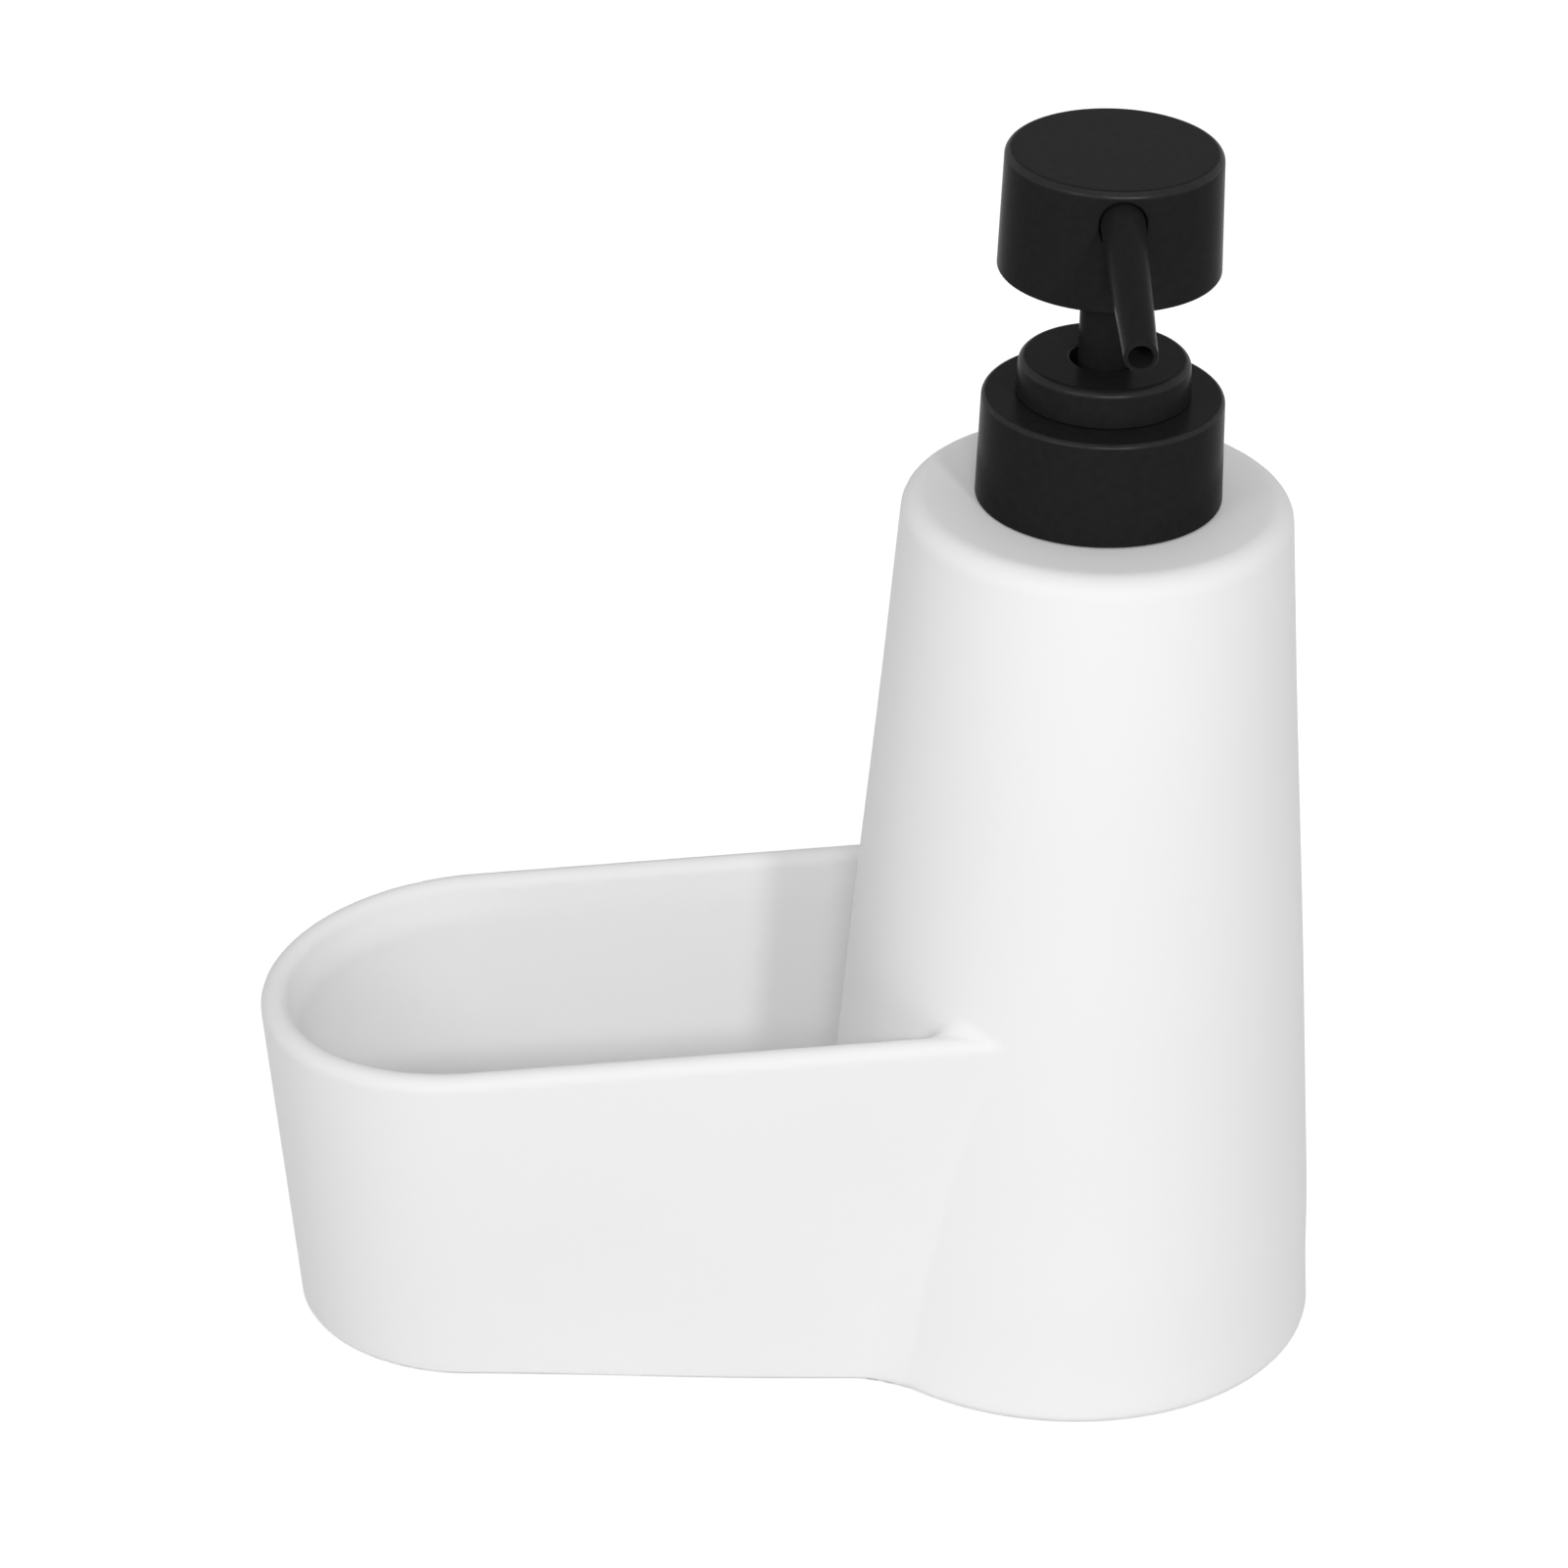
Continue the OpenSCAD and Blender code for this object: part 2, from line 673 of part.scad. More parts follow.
module head_shell() {
    skin_top_r = head_top_r - head_wall;
    skin_low_r = head_r - head_wall;
    color("dimgray") difference() {
        union() {
            difference() {
                turned(head_r, head_foot_z, head_top_r, head_top_z, 0, head_round);
                cone(skin_low_r, skin_top_r, head_foot_z - overrun, head_roof_z);
            }
            tube(sleeve_r + sleeve_t, sleeve_r, sleeve_foot_z, head_roof_z + overrun);
        }
        spout_place() rotate([90, 0, 90]) linear_extrude(2 * head_r) {
            circle(spout_hole_r);
            translate([0, -spout_hole_drop]) circle(spout_hole_r);
            translate([-spout_hole_r, -spout_hole_drop])
                square([2 * spout_hole_r, spout_hole_drop]);
        }
    }
}

caddy_body();
base_plate();
base_pad();
neck_insert();
closure_nut();
collar_shell();
neck_gasket();
pump_housing();
guide_bush();
wiper_ring();
guide_collar();
dip_tube();
ball_retainer();
return_spring();
inlet_ball();
piston_seal();
piston_rod();
stem();
outlet_ball();
actuator_core();
spout_tube();
head_shell();
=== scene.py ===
"""Soap pump caddy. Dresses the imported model: a white moulded bottle with a tray, and a black pump.

Shapes are worked out in millimetres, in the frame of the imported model, and built in metres.
"""

import json
import math

import bpy
import numpy as np
from mathutils import Matrix


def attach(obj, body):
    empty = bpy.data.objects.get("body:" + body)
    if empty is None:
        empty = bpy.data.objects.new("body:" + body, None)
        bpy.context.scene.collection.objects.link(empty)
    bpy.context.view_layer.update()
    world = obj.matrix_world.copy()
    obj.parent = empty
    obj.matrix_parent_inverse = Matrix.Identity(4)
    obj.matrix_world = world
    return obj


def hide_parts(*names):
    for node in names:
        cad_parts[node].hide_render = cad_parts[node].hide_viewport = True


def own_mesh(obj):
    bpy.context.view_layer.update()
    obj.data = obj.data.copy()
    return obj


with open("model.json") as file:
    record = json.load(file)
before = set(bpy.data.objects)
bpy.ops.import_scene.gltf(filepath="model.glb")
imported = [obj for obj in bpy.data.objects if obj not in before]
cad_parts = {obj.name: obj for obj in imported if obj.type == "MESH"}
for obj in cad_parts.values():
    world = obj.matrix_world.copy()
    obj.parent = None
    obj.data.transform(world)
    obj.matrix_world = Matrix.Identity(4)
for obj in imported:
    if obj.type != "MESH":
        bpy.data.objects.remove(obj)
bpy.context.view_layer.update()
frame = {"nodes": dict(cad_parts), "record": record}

MM = 0.001

# Sizes in mm, angles in radians
BODY_Z = 0.5
BOTTLE_H = 143.5
BOTTLE_BASE_R = 39.9
BOTTLE_TOP_R = 29.7
BOTTLE_WALL = 3.0
TOP_WALL = 4.0
SHOULDER_ROUND = 3.2
FOOT_ROUND = 1.8
TRAY_REACH = 95.0
TRAY_BASE_R = 26.7
TRAY_DRAFT = math.radians(6.5)
RIM_END_H = 58.5
RIM_SLOPE = math.radians(5.6)
TRAY_WALL = 4.0
TRAY_FLOOR_Z = 4.2
TRAY_FOOT_ROUND = 0.8
TRAY_FLOOR_FILLET = 3.5
PAD_TOP_Z = 1.2
PAD_INSET = 3.0
PLATE_R = 37.1
PLATE_TOP_Z = 3.7
SPIGOT_R = 14.5
SEAT_GAP = 0.03
RUN_GAP = 0.05
SINK = 0.5
NECK_HOLE_LAP = 1.0

NECK_R = 13.65
NECK_CORE_R = 12.8
NECK_BORE_R = 11.5
NECK_TOP_Z = 155.0
NECK_FLANGE_R = 16.2
NECK_FLANGE_T = 1.2
NECK_SPIGOT_L = 7.0
THREAD_PITCH = 3.6
THREAD_FOOT_Z = 146.6
THREAD_TURNS = 1.9
THREAD_FADE_TURNS = 0.1
THREAD_FOOT_HALF_W = 1.15
THREAD_CREST_HALF_W = 0.4

COLLAR_R = 18.8
COLLAR_TOP_R = 18.4
COLLAR_FOOT_Z = 143.7
COLLAR_TOP_Z = 160.5
SHELL_CAP_Z = 159.0
CLOSURE_R = 16.2
CLOSURE_BORE_R = 13.75
CLOSURE_FOOT_Z = 144.9
THREAD_DEPTH = 0.7
CLOSURE_CAP_Z = 157.5
CLOSURE_RIBS = 24
RIB_PROUD = 0.45
TURRET_R = 9.5
TURRET_TOP_Z = 165.0

GUIDE_R = 13.0
GUIDE_FOOT_R = 13.3
GUIDE_ROUND = 1.3
GUIDE_FOOT_Z = 160.7
GUIDE_TOP_Z = 166.6
GUIDE_HOLE_R = 5.4
THROAT_R = 7.6
THROAT_Z = 162.5

STEM_R = 4.1
STEM_BORE_R = 3.05
STEM_FOOT_Z = 148.85
STEM_TOP_Z = 190.7

HEAD_FOOT_Z = 181.3
HEAD_TOP_Z = 200.3
HEAD_ROOF_Z = 198.7
HEAD_R = 16.85
HEAD_TOP_R = 16.35
HEAD_ROUND = 1.25
HEAD_WALL = 1.6
HUB_R = 7.2
SLEEVE_T = 1.2
SLEEVE_FOOT_Z = 185.2

SPOUT_Z = 195.25
SPOUT_TURN = math.radians(1.5)
SPOUT_DROP = math.radians(11.5)
SPOUT_CUT = math.radians(4.0)
SPOUT_BEND = 14.0
SPOUT_REACH = 47.4
SPOUT_ROOT_R = 3.4
SPOUT_TIP_R = 2.5
SPOUT_SPIGOT_R = 3.0
SPOUT_BORE_R = 1.8
SPOUT_FEED_INSET = 0.1
SPOUT_BORE_BACK = 0.4
SPOUT_LAP = 1.0
SPOUT_INNER = 3.0
SPOUT_HOLE_R = 3.5
SPOUT_HOLE_DROP = 0.6

# Rounds on edges and in corners, mm
ROUND_HIDDEN = 0.1
ROUND_THROAT = 0.15
ROUND_STEM = 0.2
ROUND_FOOT = 0.25
ROUND_FINE = 0.3
ROUND_HOLE = 0.35
ROUND_NECK = 0.4
ROUND_JOIN = 0.5
ROUND_HEAD_ROOF = 0.8
ROUND_COLLAR_TOP = 0.9

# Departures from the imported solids, mm
CREASE_OUTSIDE = 0.5
CREASE_INSIDE = 3.4
CREASE_END_X = 6.0
CREASE_FADE = 16.0
BELLY = 0.4
BELLY_TOP_Z = 120.0
BELLY_FULL_HIGH_Z = 60.0
BELLY_FULL_LOW_Z = 24.0
BELLY_FOOT_Z = 8.0
SPREAD = 1.25
SPREAD_END_X = -45.0
SWELL_END = 1.5
SWELL_SIDE = 0.4
SWELL_DEPTH = 5.5
SWELL_START_X = -80.0
SWELL_FULL_X = -112.0

# Mesh building, lengths in mm
BODY_STEP = 0.9
HEAD_STEP = 0.32
THREAD_STEP = 0.36
SPOUT_STEP = 0.24
TRAY_MARGIN = 1.0
SPOUT_BOX_LOW = (-4.5, -SPOUT_REACH - 1.0, 185.0)
SPOUT_BOX_HIGH = (6.5, -2.0, 199.5)
PROBE = 0.02
LEAST_SLOPE_SQUARED = 0.25
SETTLE_ROUNDS = 5
GRID_MARGIN_LOW = 1.6
GRID_MARGIN_HIGH = 2.6
RING_SEGMENTS = 144
STEM_SEGMENTS = 96
ARC_STEP = math.radians(12)


# Distance fields, mm
def round_union(a, b, r):
    """Either solid, with a fillet of radius r in the corner between them."""
    u = np.maximum(r - a, 0.0)
    v = np.maximum(r - b, 0.0)
    return np.maximum(r, np.minimum(a, b)) - np.hypot(u, v)


def round_overlap(a, b, r):
    """What both solids share, with a round of radius r on the edge between them."""
    u = np.maximum(r + a, 0.0)
    v = np.maximum(r + b, 0.0)
    return np.minimum(-r, np.maximum(a, b)) + np.hypot(u, v)


def smooth(value, start, end):
    """0 at start and 1 at end, with an S-shaped rise between them."""
    t = np.clip((value - start) / (end - start), 0.0, 1.0)
    return t * t * (3 - 2 * t)


def stadium(x, y):
    """Distance in plan from the tray's centre line, from its round end to the pump's axis."""
    return np.hypot(x - np.clip(x, -TRAY_REACH, 0.0), y)


BOTTLE_RATE = (BOTTLE_BASE_R - BOTTLE_TOP_R) / (BOTTLE_H - BODY_Z)
BOTTLE_COS = math.cos(math.atan(BOTTLE_RATE))
DRAFT_RATE = math.tan(TRAY_DRAFT)
DRAFT_COS = math.cos(TRAY_DRAFT)
DRAFT_SIN = math.sin(TRAY_DRAFT)
RIM_RATE = math.tan(RIM_SLOPE)
RIM_R = TRAY_WALL / 2
RIM_Z = RIM_END_H - RIM_R
RIM_MID_R = TRAY_BASE_R + RIM_Z * DRAFT_RATE - RIM_R / DRAFT_COS


def bottle_outer(r, z):
    # The side isn't quite straight: it stands proud by a belly in its lower half
    belly = BELLY * smooth(z, BELLY_TOP_Z, BELLY_FULL_HIGH_Z) * smooth(z, BELLY_FOOT_Z, BELLY_FULL_LOW_Z)
    side = (r - BOTTLE_BASE_R + (z - BODY_Z) * BOTTLE_RATE - belly) * BOTTLE_COS
    solid = round_overlap(side, z - BOTTLE_H, SHOULDER_ROUND)
    return round_overlap(solid, BODY_Z - z, FOOT_ROUND)


def reservoir(r, z):
    side = (r - BOTTLE_BASE_R + (z - BODY_Z) * BOTTLE_RATE) * BOTTLE_COS + BOTTLE_WALL
    return round_overlap(np.maximum(side, PLATE_TOP_Z - z), z - (BOTTLE_H - TOP_WALL), SHOULDER_ROUND)


def tray(x, y, z):
    level = z - RIM_RATE * (x + TRAY_REACH)
    # The foot of the tray spreads a little towards the bottle
    spread = SPREAD * smooth(x, -TRAY_REACH, SPREAD_END_X)
    d = stadium(x, y) - spread * np.clip(1.0 - level / RIM_Z, 0.0, 1.0)
    # The wall is a leaning band whose centre line ends at the rim's round
    across = (d - RIM_MID_R) * DRAFT_COS - (level - RIM_Z) * DRAFT_SIN
    along = (d - RIM_MID_R) * DRAFT_SIN + (level - RIM_Z) * DRAFT_COS
    # Below the rim it swells inwards, most at the tray's round end
    swell = SWELL_SIDE + (SWELL_END - SWELL_SIDE) * smooth(x, SWELL_START_X, SWELL_FULL_X)
    swell = swell * smooth(along, RIM_R, -SWELL_DEPTH)
    wide = np.abs(across + swell / 2) - swell / 2
    wall = np.hypot(wide, np.maximum(along, 0.0)) - RIM_R
    outer = across - RIM_R
    floor = np.maximum(outer, z - TRAY_FLOOR_Z)
    solid = round_union(wall, floor, TRAY_FLOOR_FILLET)
    solid = np.maximum(solid, outer)
    return round_overlap(solid, BODY_Z - z, TRAY_FOOT_ROUND)


def body_field(x, y, z):
    r = np.hypot(x, y)
    # The corner inside the tray is filled more than the one outside, and neither
    # is filled where the tray's walls have run out inside the bottle
    share = smooth(stadium(x, y), RIM_MID_R + RIM_R, RIM_MID_R - RIM_R)
    crease = CREASE_OUTSIDE + (CREASE_INSIDE - CREASE_OUTSIDE) * share
    crease = crease * smooth(x, CREASE_END_X, CREASE_END_X - CREASE_FADE)
    solid = round_union(bottle_outer(r, z), tray(x, y, z), crease)
    solid = np.maximum(solid, BODY_Z - z)
    solid = np.maximum(solid, -reservoir(r, z))
    solid = np.maximum(solid, -np.maximum(r - PLATE_R - SEAT_GAP, z - PLATE_TOP_Z))
    solid = np.maximum(solid, -np.maximum(r - SPIGOT_R - SEAT_GAP, BOTTLE_H - TOP_WALL - NECK_HOLE_LAP - z))
    pad = np.minimum(
        r - BOTTLE_BASE_R + PAD_INSET - SEAT_GAP,
        stadium(x, y) - TRAY_BASE_R + PAD_INSET - SEAT_GAP,
    )
    return np.maximum(solid, -np.maximum(pad, z - PAD_TOP_Z))


def spout_axes(x, y, z):
    """Along the spout's level part, across it and up from its axis."""
    out = x * math.sin(SPOUT_TURN) - y * math.cos(SPOUT_TURN)
    side = x * math.cos(SPOUT_TURN) + y * math.sin(SPOUT_TURN)
    return out, side, z - SPOUT_Z


def spout_field(x, y, z):
    out, side, up = spout_axes(x, y, z)
    along = (out - SPOUT_BEND) * math.cos(SPOUT_DROP) - up * math.sin(SPOUT_DROP)
    above = (out - SPOUT_BEND) * math.sin(SPOUT_DROP) + up * math.cos(SPOUT_DROP)
    run = (SPOUT_REACH - SPOUT_BEND) / math.cos(SPOUT_DROP)
    wide = SPOUT_ROOT_R + (SPOUT_TIP_R - SPOUT_ROOT_R) * along / run
    radius = np.hypot(side, above)
    # The tip is cut at its own small angle, a little off square
    past = (out - SPOUT_REACH) * math.cos(SPOUT_CUT)
    past = past - (up + run * math.sin(SPOUT_DROP)) * math.sin(SPOUT_CUT)
    slope = np.maximum(round_overlap(radius - wide, past, ROUND_HOLE), -along)
    level = np.maximum(SPOUT_INNER - out, out - SPOUT_BEND - SPOUT_LAP)
    level = np.maximum(np.hypot(side, up) - SPOUT_SPIGOT_R, level)
    solid = round_union(slope, level, ROUND_THROAT)
    bore = np.maximum(radius - SPOUT_BORE_R, -SPOUT_BORE_BACK - along)
    feed = np.maximum(np.hypot(side, up) - SPOUT_BORE_R + SPOUT_FEED_INSET, out - SPOUT_BEND)
    return round_overlap(solid, -np.minimum(bore, feed), ROUND_FOOT)


def head_field(x, y, z):
    r = np.hypot(x, y)
    rate = (HEAD_R - HEAD_TOP_R) / (HEAD_TOP_Z - HEAD_FOOT_Z)
    lean = math.cos(math.atan(rate))
    side = (r - HEAD_R + (z - HEAD_FOOT_Z) * rate) * lean
    outer = round_overlap(side, z - HEAD_TOP_Z, HEAD_ROUND)
    outer = round_overlap(outer, HEAD_FOOT_Z - z, ROUND_FINE)
    hollow = round_overlap(side + HEAD_WALL, z - HEAD_ROOF_Z, ROUND_HEAD_ROOF)
    shell = round_overlap(outer, -hollow, ROUND_FINE)
    middle = HUB_R + SEAT_GAP + SLEEVE_T / 2
    sleeve = round_overlap(np.abs(r - middle) - SLEEVE_T / 2, SLEEVE_FOOT_Z - z, ROUND_FINE)
    sleeve = np.maximum(sleeve, z - HEAD_ROOF_Z - SINK)
    solid = round_union(shell, sleeve, ROUND_JOIN)
    out, across, up = spout_axes(x, y, z)
    slot = np.hypot(across, up - np.clip(up, -SPOUT_HOLE_DROP, 0.0)) - SPOUT_HOLE_R
    return round_overlap(solid, -np.maximum(slot, -out), ROUND_HOLE)


def thread_share(x, y, z):
    """Height of a screw ridge as a share of its depth. It fades out at both ends."""
    lap = np.arctan2(y, x) / (2 * math.pi)
    turn = np.round((z - THREAD_FOOT_Z) / THREAD_PITCH - lap) + lap
    ends = smooth(np.minimum(turn, THREAD_TURNS - turn), 0.0, THREAD_FADE_TURNS)
    away = np.abs(z - THREAD_FOOT_Z - turn * THREAD_PITCH)
    return ends * smooth(away, THREAD_FOOT_HALF_W, THREAD_CREST_HALF_W)


def neck_field(x, y, z):
    r = np.hypot(x, y)
    core = NECK_CORE_R + (NECK_R - NECK_CORE_R) * thread_share(x, y, z)
    shaft = round_overlap(r - core, z - NECK_TOP_Z, ROUND_NECK)
    flange = round_overlap(r - NECK_FLANGE_R, z - BOTTLE_H - NECK_FLANGE_T, ROUND_HOLE)
    solid = round_union(shaft, flange, ROUND_JOIN)
    foot = BOTTLE_H - NECK_SPIGOT_L
    solid = np.maximum(solid, BOTTLE_H - z)
    solid = np.minimum(solid, np.maximum(r - SPIGOT_R, np.maximum(foot - z, z - BOTTLE_H - SINK)))
    return round_overlap(solid, NECK_BORE_R - r, ROUND_FINE)


def closure_field(x, y, z):
    r = np.hypot(x, y)
    step = 2 * math.pi / CLOSURE_RIBS
    a = np.arctan2(y, x)
    a = a - np.round(a / step) * step
    rib = np.hypot(r * np.cos(a) - CLOSURE_R, r * np.sin(a)) - RIB_PROUD
    rib = np.maximum(rib, CLOSURE_FOOT_Z + RIB_PROUD - z)
    outer = round_union(r - CLOSURE_R, rib, ROUND_FINE)
    outer = round_overlap(np.maximum(outer, z - SHELL_CAP_Z), CLOSURE_FOOT_Z - z, ROUND_FINE)
    bore = CLOSURE_BORE_R + THREAD_DEPTH * thread_share(x, y, z)
    solid = round_overlap(outer, -np.maximum(r - bore, z - CLOSURE_CAP_Z), ROUND_FOOT)
    return np.maximum(solid, TURRET_R + RUN_GAP - r)


# Mesh building
def gradient(field, p, h):
    """Slope of a field at points p, from values a distance h to either side."""
    g = np.empty_like(p)
    for axis in range(3):
        step = np.zeros(3)
        step[axis] = h
        a = p + step
        b = p - step
        g[:, axis] = (field(*a.T) - field(*b.T)) / (2 * h)
    return g


def make_object(name, points, faces, normals):
    """Smooth mesh from points in mm, in the scene in metres."""
    mesh = bpy.data.meshes.new(name)
    mesh.from_pydata((np.asarray(points) * MM).tolist(), [], faces)
    mesh.polygons.foreach_set("use_smooth", [True] * len(mesh.polygons))
    mesh.normals_split_custom_set_from_vertices(np.asarray(normals).tolist())
    mesh.update()
    obj = bpy.data.objects.new(name, mesh)
    bpy.context.scene.collection.objects.link(obj)
    return obj


def skin(name, field, low, high, step):
    """Quads over field = 0 inside a box, their corners moved onto the surface."""
    axes = [
        np.arange(a - GRID_MARGIN_LOW * step, b + GRID_MARGIN_HIGH * step, step)
        for a, b in zip(low, high)
    ]
    start = np.array([a[0] for a in axes])
    gy, gz = np.meshgrid(axes[1], axes[2], indexing="ij")
    value = np.stack([field(np.full_like(gy, x), gy, gz) for x in axes[0]])
    inside = value < 0
    n = [len(a) - 1 for a in axes]
    corners = [(i, j, k) for i in (0, 1) for j in (0, 1) for k in (0, 1)]
    total = sum(inside[i:i + n[0], j:j + n[1], k:k + n[2]].astype(np.int8) for i, j, k in corners)
    cells = np.argwhere((total > 0) & (total < 8))
    index = np.full(n, -1, dtype=np.int64)
    index[tuple(cells.T)] = np.arange(len(cells))
    points = np.zeros((len(cells), 3))
    count = np.zeros(len(cells))
    for a in corners:
        for axis in range(3):
            if a[axis]:
                continue
            b = list(a)
            b[axis] = 1
            fa = value[tuple((cells + a).T)]
            fb = value[tuple((cells + b).T)]
            hit = (fa < 0) != (fb < 0)
            t = fa[hit] / (fa[hit] - fb[hit])
            spot = np.tile(np.array(a, float), (hit.sum(), 1))
            spot[:, axis] = t
            points[hit] += spot
            count[hit] += 1
    points = start + (cells + points / count[:, None]) * step
    for _ in range(SETTLE_ROUNDS):
        g = gradient(field, points, PROBE)
        f = field(*points.T)
        move = (f / np.maximum((g * g).sum(1), LEAST_SLOPE_SQUARED))[:, None] * g
        points -= np.clip(move, -step / 2, step / 2)
    faces = []
    for axis in range(3):
        e, f = (axis + 1) % 3, (axis + 2) % 3
        lo = [slice(None)] * 3
        hi = [slice(None)] * 3
        lo[axis] = slice(0, -1)
        hi[axis] = slice(1, None)
        first, second = inside[tuple(lo)], inside[tuple(hi)]
        spots = np.argwhere(first != second)
        kept = (spots[:, e] > 0) & (spots[:, f] > 0) & (spots[:, e] < n[e]) & (spots[:, f] < n[f])
        spots = spots[kept]
        de = np.eye(3, dtype=int)[e]
        df = np.eye(3, dtype=int)[f]
        ring = [spots - de - df, spots - df, spots, spots - de]
        quad = np.stack([index[tuple(c.T)] for c in ring], axis=1)
        flip = ~first[tuple(spots.T)]
        quad[flip] = quad[flip][:, ::-1]
        faces.append(quad)
    faces = np.concatenate(faces)
    normals = gradient(field, points, PROBE)
    normals /= np.linalg.norm(normals, axis=1)[:, None]
    return make_object(name, points, faces.tolist(), normals)


def rounded_loop(corners):
    """Points and outward normals of a half section whose corners (r, z, fillet) run anticlockwise."""
    points = []
    normals = []
    total = len(corners)
    for i in range(total):
        here = np.array(corners[i][:2], float)
        back = np.array(corners[i - 1][:2], float) - here
        on = np.array(corners[(i + 1) % total][:2], float) - here
        back /= np.linalg.norm(back)
        on /= np.linalg.norm(on)
        n0 = np.array([-back[1], back[0]])
        n1 = np.array([on[1], -on[0]])
        fillet = corners[i][2]
        half = math.acos(max(-1.0, min(1.0, float(back @ on)))) / 2
        turn = math.pi - 2 * half
        bulge = back[0] * on[1] - back[1] * on[0] < 0
        middle = here + (back + on) / np.linalg.norm(back + on) * fillet / math.sin(half)
        sign = 1.0 if bulge else -1.0
        a0 = math.atan2(sign * n0[1], sign * n0[0])
        steps = max(1, round(turn / ARC_STEP))
        for k in range(steps + 1):
            a = a0 + sign * turn * k / steps
            ray = np.array([math.cos(a), math.sin(a)])
            points.append(middle + fillet * ray)
            normals.append(sign * ray)
    return points, normals


def lathe(name, corners, segments=RING_SEGMENTS):
    """Ring turned about the z axis from a closed half section."""
    loop, across = rounded_loop(corners)
    points = []
    normals = []
    for s in range(segments):
        a = 2 * math.pi * s / segments
        c, d = math.cos(a), math.sin(a)
        points += [(p[0] * c, p[0] * d, p[1]) for p in loop]
        normals += [(q[0] * c, q[0] * d, q[1]) for q in across]
    m = len(loop)
    faces = []
    for s in range(segments):
        t = (s + 1) % segments
        for i in range(m):
            j = (i + 1) % m
            faces.append((s * m + i, t * m + i, t * m + j, s * m + j))
    return make_object(name, points, faces, normals)


# Materials
STREAK_SHADE = 0.94
PEBBLE_SHADE = 0.75


class Nodes:
    """Short forms for the few node types that the materials use."""

    def __init__(self, name):
        self.mat = bpy.data.materials.new(name)
        self.mat.use_nodes = True
        self.tree = self.mat.node_tree
        self.shader = self.tree.nodes["Principled BSDF"]
        self.coord = self.tree.nodes.new("ShaderNodeTexCoord").outputs["Object"]

    def link(self, a, b):
        self.tree.links.new(a, b)

    def noise(self, scale, detail=3.0, rough=0.55):
        node = self.tree.nodes.new("ShaderNodeTexNoise")
        node.inputs["Scale"].default_value = scale
        node.inputs["Detail"].default_value = detail
        node.inputs["Roughness"].default_value = rough
        self.link(self.coord, node.inputs["Vector"])
        return node.outputs["Fac"]

    def voronoi(self, scale):
        node = self.tree.nodes.new("ShaderNodeTexVoronoi")
        node.inputs["Scale"].default_value = scale
        self.link(self.coord, node.inputs["Vector"])
        return node.outputs["Distance"]

    def spread(self, value, low, high, at=(0.3, 0.7)):
        node = self.tree.nodes.new("ShaderNodeMapRange")
        node.inputs["From Min"].default_value = at[0]
        node.inputs["From Max"].default_value = at[1]
        node.inputs["To Min"].default_value = low
        node.inputs["To Max"].default_value = high
        self.link(value, node.inputs["Value"])
        return node.outputs["Result"]

    def height_of_normal(self):
        """How far the surface faces up, from -1 to 1, in the object's own space."""
        apart = self.tree.nodes.new("ShaderNodeSeparateXYZ")
        self.link(self.coord.node.outputs["Normal"], apart.inputs["Vector"])
        return apart.outputs["Z"]

    def times(self, a, b):
        node = self.tree.nodes.new("ShaderNodeMath")
        node.operation = "MULTIPLY"
        self.link(a, node.inputs[0])
        self.link(b, node.inputs[1])
        return node.outputs["Value"]

    def ramp(self, value, stops):
        node = self.tree.nodes.new("ShaderNodeValToRGB")
        for element, (place, color) in zip(node.color_ramp.elements, stops):
            element.position = place
            element.color = (*color, 1.0)
        self.link(value, node.inputs["Fac"])
        return node.outputs["Color"]

    def bump(self, height, strength, distance, under=None):
        node = self.tree.nodes.new("ShaderNodeBump")
        node.inputs["Strength"].default_value = strength
        node.inputs["Distance"].default_value = distance
        self.link(height, node.inputs["Height"])
        if under is not None:
            self.link(under, node.inputs["Normal"])
        return node.outputs["Normal"]

    def put(self, socket, value):
        if isinstance(value, bpy.types.NodeSocket):
            self.link(value, self.shader.inputs[socket])
        else:
            self.shader.inputs[socket].default_value = value


def white_plastic():
    """Fine matte moulding: a faint grain, and a slow drift in shade."""
    n = Nodes("white_matte_plastic")
    shades = [(0.3, (0.850, 0.850, 0.852)), (0.7, (0.872, 0.871, 0.869))]
    n.put("Base Color", n.ramp(n.noise(scale=14.0, detail=2.0), shades))
    n.put("Roughness", n.spread(n.noise(scale=420.0, detail=4.0), low=0.50, high=0.62))
    n.put("Specular IOR Level", 0.12)
    grain = n.bump(n.noise(scale=3200.0, detail=2.0), strength=0.22, distance=0.00004)
    waves = n.noise(scale=90.0, detail=2.0)
    n.put("Normal", n.bump(waves, strength=0.05, distance=0.0003, under=grain))
    return n.mat


